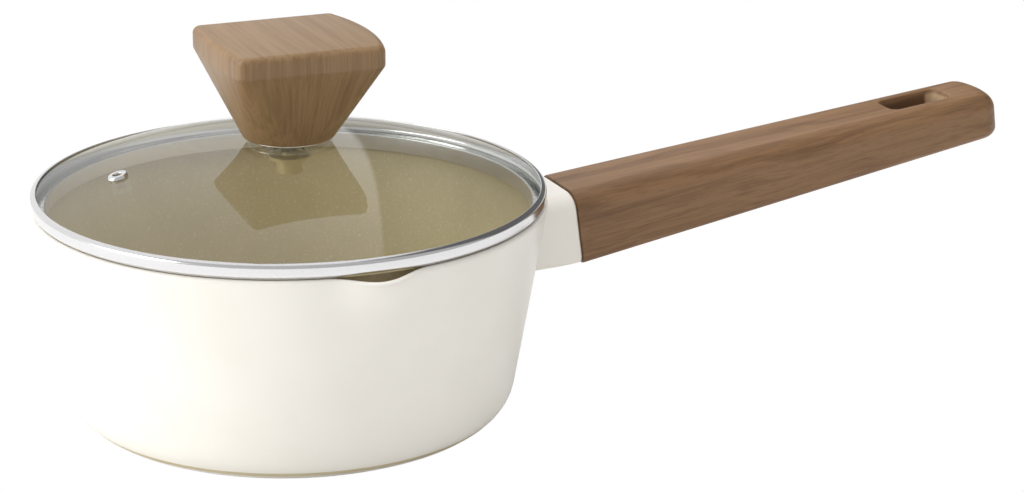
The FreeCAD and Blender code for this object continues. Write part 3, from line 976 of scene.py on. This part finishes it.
def makeBand():
    values = lidValues
    out, sheet = values["bandRadius"], values["sheet"]
    lipIn = out - sheet - values["lipWidth"]
    lipHeight, edgeHeight = (glassTop(r) + values["seam"] for r in (lipIn, glassRadius))
    foot = out - values["tuck"]
    skirt, skirtIn = values["skirtRadius"], values["skirtRadius"] - sheet
    skirtLow = rimHeight - values["skirtDepth"]
    points = [(lipIn, lipHeight), (lipIn, lipHeight + sheet), (out, edgeHeight + sheet),
              (out, rimHeight + values["tuck"]), (foot, rimHeight), (skirt, rimHeight),
              (skirt, skirtLow), (skirtIn, skirtLow), (skirtIn, flange),
              (foot + sheet / 4, flange),
              (out - sheet, rimHeight + values["tuck"]), (out - sheet, edgeHeight)]
    path = roundPath(points, values["rounds"])
    band = latheTurn("bandRing", closedProfile(path), values["turns"])
    band.data.materials.append(metal("polishedSteel"))
    band.data.materials.append(metal("satinSteel"))
    # the inner face of the skirt is satin
    for face in band.data.polygons:
        x, y, z = face.center
        inner = math.hypot(x, y) < skirtIn + 10 * hair and z < flange + 10 * hair
        face.material_index = int(inner)
    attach(band, "lid")
    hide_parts("lid_rim_band")


ventValues = {
    "hole": 0.0014,
    "tube": 0.0027,
    "flange": 0.0034,
    "head": 0.0011,
    "footShare": 0.6,            # the foot's height as a share of the head's
    "depthShare": 0.97,          # how much of the glass's thickness the tube spans
    "round": 0.0004,
    "edge": 0.0001,
    "silverDepth": 0.0002,       # below this it takes the seal's finish
    "turns": 64,
}


def makeVent():
    low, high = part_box("steam_vent_grommet")
    centre = Vector(((low.x + high.x) / 2, (low.y + high.y) / 2, 0))
    radius = centre.length
    top, under = glassTop(radius), glassUnder(radius)
    values = ventValues
    depth = (top - under) * values["depthShare"]
    foot = -depth - values["head"] * values["footShare"]
    hole, tube, collar, head, soft, edge = (
        values[key] for key in ("hole", "tube", "flange", "head", "round", "edge"))
    points = [(hole, head), (collar - soft, head), (collar, edge), (tube, 0), (tube, -depth),
              (collar, -depth), (collar, foot), (hole, foot)]
    radii = [soft * 1.2, soft * 1.2, edge, 0, 0, edge, soft, soft / 2]
    vent = latheTurn("ventEyelet", closedProfile(roundPath(points, radii)), values["turns"])
    step = 0.001
    slope = math.atan2(glassTop(radius - step) - glassTop(radius + step), 2 * step)
    outwards = centre.normalized()
    tangent = Vector((0, 0, 1)).cross(outwards)
    turn = Matrix.Rotation(slope, 3, tangent)
    vent.data.materials.append(metal("polishedSteel"))
    vent.data.materials.append(sealSilicone())
    for face in vent.data.polygons:
        face.material_index = int(face.center.z < -values["silverDepth"])
    placePiece(vent, turn, centre + Vector((0, 0, top)))
    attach(vent, "lid")
    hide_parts("steam_vent_grommet")


ringValues = {
    "hole": 0.00275,
    "radius": 0.0132,            # just inside the foot of the knob
    "round": 0.00035,
    "turns": 96,
}


def makeBaseRing():
    low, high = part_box("knob_base_ring")
    hole, radius = ringValues["hole"], ringValues["radius"]
    points = [(hole, high.z), (radius, high.z), (radius, low.z), (hole, low.z)]
    soft = ringValues["round"]
    path = roundPath(points, [0, soft, soft, 0], 5)
    ring = latheTurn("knobRing", closedProfile(path), ringValues["turns"])
    ring.data.materials.append(metal("polishedSteel"))
    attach(ring, "lid")
    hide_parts("knob_base_ring")


knobValues = {
    "footRadius": 0.0147,
    "halfWidth": 0.0249,
    "halfLength": 0.0240,
    "frontBulge": 0.0041,        # the end towards the handle bows out this far
    "backBulge": 0.0012,
    "corner": 0.0030,
    "waist": 0.0260,             # from the foot up to the upright band
    "topRound": 0.0022,
    "waistRound": 0.0006,
    "footRound": 0.0006,
    "footTurns": 96,
    "longestStep": 0.004,        # round the outline
    "flatAngle": 0.3,            # degrees: flatter joints in the hull are melted away
}


def bowedEnd(bulge, mirror):
    # corner, bow and corner of one end of the knob's top
    values = knobValues
    corner, half = values["corner"], values["halfWidth"]
    bow = (half ** 2 + bulge ** 2) / (2 * bulge)
    bowMiddle = values["halfLength"] + bulge - bow
    across = half - corner
    cornerMiddle = bowMiddle + math.sqrt((bow - corner) ** 2 - across ** 2)
    lean = math.atan2(across, cornerMiddle - bowMiddle)
    quarter = math.pi / 2
    path = arcPoints((cornerMiddle, -across), corner, -quarter, -lean, 8)
    path += arcPoints((bowMiddle, 0), bow, -lean, lean, 16)[1:]
    path += arcPoints((cornerMiddle, across), corner, lean, quarter, 8)[1:]
    return [(-x, -y) for x, y in path] if mirror else path


def knobOutline():
    front = bowedEnd(knobValues["frontBulge"], False)
    back = bowedEnd(knobValues["backBulge"], True)
    corners = [Vector(p) for p in front + back + front[:1]]
    return splitLong(corners, knobValues["longestStep"])[:-1]


def makeKnob():
    values = knobValues
    low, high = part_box("lid_knob")
    outline = knobOutline()
    waist = low.z + values["waist"]
    upper = [(p.x, p.y, waist) for p in outline]
    circle = arcPoints((0, 0), values["footRadius"], 0, math.tau, values["footTurns"])
    foot = flatLoop(circle, low.z)
    knob = startPoint("knobBody", upper[0])
    drawOn(upper + upper[:1])
    addPoint(foot[0])
    drawOn(foot)
    bpy.ops.mesh.select_all(action="SELECT")
    bpy.ops.mesh.remove_doubles(threshold=weldGap)
    bpy.ops.mesh.convex_hull()
    bpy.ops.mesh.select_all(action="SELECT")
    bpy.ops.mesh.dissolve_limited(angle_limit=math.radians(values["flatAngle"]))
    selectWhere(knob, "FACE", lambda centre, normal: normal.z > 0.99)
    bpy.ops.mesh.extrude_region_move(TRANSFORM_OT_translate={"value": (0, 0, high.z - waist)})
    rounds = ((high.z, values["topRound"], 6), (waist, values["waistRound"], 3),
              (low.z, values["footRound"], 3))
    for height, radius, segments in rounds:
        selectWhere(knob, "EDGE", lambda a, b: abs(a.z - height) + abs(b.z - height) < hair)
        bpy.ops.mesh.bevel(offset=radius, segments=segments, affect="EDGES", clamp_overlap=False)
    finishPiece(knob)
    knob.data.materials.append(knobWood())
    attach(knob, "lid")
    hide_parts("lid_knob")


def paint(material, *nodes):
    # a new finish for parts that keep their own shape
    for node in nodes:
        piece = frame["nodes"][node]
        for slot in piece.material_slots:
            slot.material = material
        if not piece.material_slots:
            piece.data.materials.append(material)


def finishHardware():
    paint(metal("fastenerSteel"), "handle_screw", "handle_flat_washer", "handle_spring_washer",
          "knob_screw", "knob_spring_washer", "knob_lower_washer")
    paint(sealSilicone(), "knob_upper_gasket", "knob_lower_gasket")
    paint(metal("insertBrass"), "knob_insert")
    paint(metal("castAluminium"), "handle_weld_stud")


floorValues = {
    "size": 6.0,
    "rise": -0.0003,                 # just clear of the pan's foot
    "pale": rgb(249, 249, 248),      # what the floor throws back on the pan
    "shade": rgb(245, 245, 244),
    "cloud": 4,
    "seen": 1.0,                     # how bright it looks
}


def makeFloor():
    values = floorValues
    deselectAll()
    bpy.ops.mesh.primitive_plane_add(size=values["size"], location=(0, 0, values["rise"]))
    ground = bpy.context.object
    ground.name = "floor"
    finish = Finish("paleFloor")
    cloud = finish.noise(finish.place(), values["cloud"], detail=2)
    colour = finish.ramp(cloud, [(noiseLow, values["shade"]), (noiseHigh, values["pale"])])
    matt = finish.add("ShaderNodeBsdfDiffuse", {}, {"Color": colour})
    white = finish.add("ShaderNodeEmission", {}, {"Color": plainWhite, "Strength": values["seen"]})
    seen = finish.add("ShaderNodeLightPath", output="Is Camera Ray")
    floorFinish = finish.surface({0: seen, 1: matt, 2: white}, "ShaderNodeMixShader")
    ground.data.materials.append(floorFinish)


lightValues = {
    "left": 0.62,                # the room's brightness in front, on each side
    "right": 0.54,
    "screen": 1.00,              # the big screen behind and to the left
    "backRight": 0.14,           # beyond the screen's edge, high up
    "horizon": 1.00,             # and low down
    "horizonTop": 0.16,          # where high up begins
    "screenEdge": 0.03,
    "screenSoft": 0.004,
    "screenLean": -0.186,        # the screen's edge leans to the right as it rises
    "frontBlend": 0.8,           # left and right run together this far to each side
    "backBlend": 0.2,            # and front and back this far behind the middle
    "seen": 1.05,                # how bright the camera sees the room
    "key": {"from": (-1.55, 0.02, 0.62), "size": 1.2, "watts": 17, "mirrored": True},
    "top": {"from": (0.15, 0.1, 1.6), "size": 1.3, "watts": 13, "mirrored": False},
}


def makeRoom():
    # a soft room, brighter on the left, that shows plain white to the camera
    values = lightValues
    room = Finish("studio", "worlds")
    way = room.add("ShaderNodeTexCoord", output="Generated")
    side = math.radians(cameraValues["azimuth"])
    toRight, toBack = (math.cos(side), math.sin(side)), (-math.sin(side), math.cos(side))
    sideways, away = room.dot(way, (*toRight, 0)), room.dot(way, (*toBack, 0))
    across, up = room.dot(way, (*toRight, values["screenLean"])), room.dot(way, (0, 0, 1))
    blend, edge, soft = values["frontBlend"], values["screenEdge"], values["screenSoft"]
    front = room.steps(sideways, -blend, blend, values["left"], values["right"])
    beyond = room.steps(across, edge - soft, edge + soft)
    low = room.steps(up, 0.0, values["horizonTop"], values["horizon"], values["backRight"])
    back = beyond * low + (1 - beyond) * values["screen"]
    behind = room.steps(away, 0.0, values["backBlend"])
    bright = front * (1 - behind) + back * behind
    seen = room.add("ShaderNodeLightPath", output="Is Camera Ray")
    strength = bright * (1 - seen) + seen * values["seen"]
    glow = room.add("ShaderNodeBackground", {}, {"Color": plainWhite, "Strength": strength})
    room.add("ShaderNodeOutputWorld", {}, {"Surface": glow}, output=None)
    bpy.context.scene.world = room.owner


def makeLights():
    for name in ("key", "top"):
        values = lightValues[name]
        place = Vector(values["from"])
        bpy.ops.object.light_add(type="AREA", location=place)
        light = bpy.context.object
        light.name = name + "Light"
        light.visible_glossy = values["mirrored"]
        light.data.shape = "DISK"
        light.data.size = values["size"]
        light.data.energy = values["watts"]
        aim = Vector((0, 0, rimHeight)) - place
        light.rotation_euler = aim.to_track_quat("-Z", "Y").to_euler()
    makeRoom()
    bpy.context.scene.view_settings.view_transform = "Standard"


cameraValues = {
    "distance": 0.937,
    "elevation": 16.91,
    "azimuth": -19.0,
    "aimRise": 0.005,            # above the rim
    "yaw": -4.37,
    "pitch": -1.30,
    "roll": 0.96,
    "lens": 101.74,
    "sensor": 36,
    "nearest": 0.05,             # closer than this isn't drawn
}


def makeCamera():
    values = cameraValues
    lift, side = math.radians(values["elevation"]), math.radians(values["azimuth"])
    level = Vector((math.sin(side), -math.cos(side), 0))
    away = level * math.cos(lift) + Vector((0, 0, math.sin(lift)))
    place = Vector((0, 0, rimHeight + values["aimRise"])) + away * values["distance"]
    forward = -away
    right = Vector((math.cos(side), math.sin(side), 0))
    up = right.cross(forward)
    yaw = Matrix.Rotation(math.radians(values["yaw"]), 3, up)
    forward, right = yaw @ forward, yaw @ right
    pitch = Matrix.Rotation(math.radians(values["pitch"]), 3, right)
    forward, up = pitch @ forward, pitch @ up
    roll = Matrix.Rotation(math.radians(values["roll"]), 3, forward)
    right, up = roll @ right, roll @ up
    bpy.ops.object.camera_add(location=place)
    camera = bpy.context.object
    camera.matrix_world = (Matrix.Translation(place)
                           @ Matrix((right, up, -forward)).transposed().to_4x4())
    camera.data.lens = values["lens"]
    camera.data.sensor_width = values["sensor"]
    camera.data.sensor_fit = "HORIZONTAL"
    camera.data.clip_start = values["nearest"]
    bpy.context.scene.camera = camera


print("pan")
makePan()
makeBasePlate()
print("handle")
makeGuard()
makeGrip()
print("lid")
makeGlass()
makeBand()
makeVent()
makeBaseRing()
makeKnob()
print("hardware")
finishHardware()
print("floor, lights and camera")
makeFloor()
makeLights()
makeCamera()
